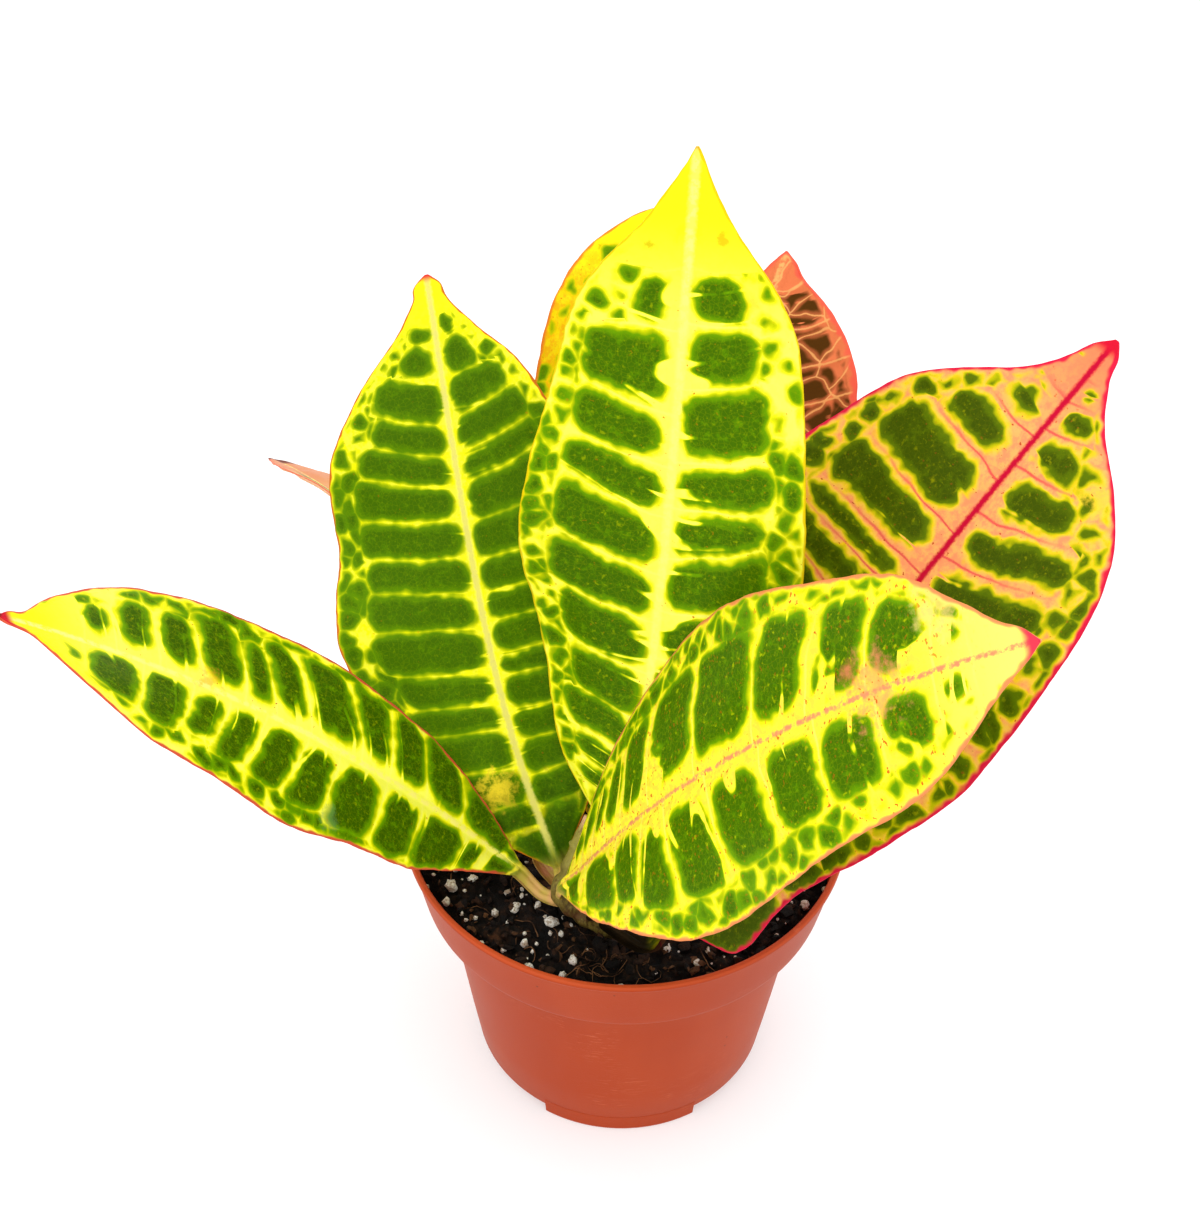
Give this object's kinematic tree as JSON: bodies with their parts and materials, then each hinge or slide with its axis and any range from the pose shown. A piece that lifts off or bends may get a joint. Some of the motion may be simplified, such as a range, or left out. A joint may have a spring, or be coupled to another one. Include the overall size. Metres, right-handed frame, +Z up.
{
  "type": "potted croton",
  "caption": "Young croton with broad pointed leaves mottled green, yellow and salmon, rooted off centre in a round terracotta-coloured plastic nursery pot of dark soil",
  "frame": {"origin": "on the surface the pot stands on, under the middle of the whole object's bounding box; the pot's own axis stands at x = 0.0125 m, y = 0.002 m", "axes": "+Z up along the pot's axis and the plant's height; the pictured front, where the plant is rooted nearest the rim, faces -Y; +X is to the right as seen in the picture"},
  "size_m": [0.205, 0.1702, 0.2449],
  "materials": {
    "pot_plastic": "satin",
    "potting_soil": "matte",
    "green_stem": "satin",
    "leaf_green_yellow": "satin",
    "leaf_green": "satin",
    "leaf_yellow": "satin",
    "leaf_yellow_spotted": "satin",
    "leaf_salmon": "satin",
    "leaf_golden": "satin",
    "leaf_bronze": "satin",
    "leaf_tan": "satin"
  },
  "bodies": {
    "root": {"pot": "pot_plastic", "soil": "potting_soil", "stem": "green_stem", "leaf_low_left": "leaf_green_yellow", "leaf_mid_left": "leaf_green", "leaf_tall_centre": "leaf_yellow", "leaf_front_right": "leaf_yellow_spotted", "leaf_far_right": "leaf_salmon", "leaf_back_upright": "leaf_golden", "leaf_back_turned": "leaf_bronze", "leaf_back_left": "leaf_tan"}
  },
  "joints": []
}
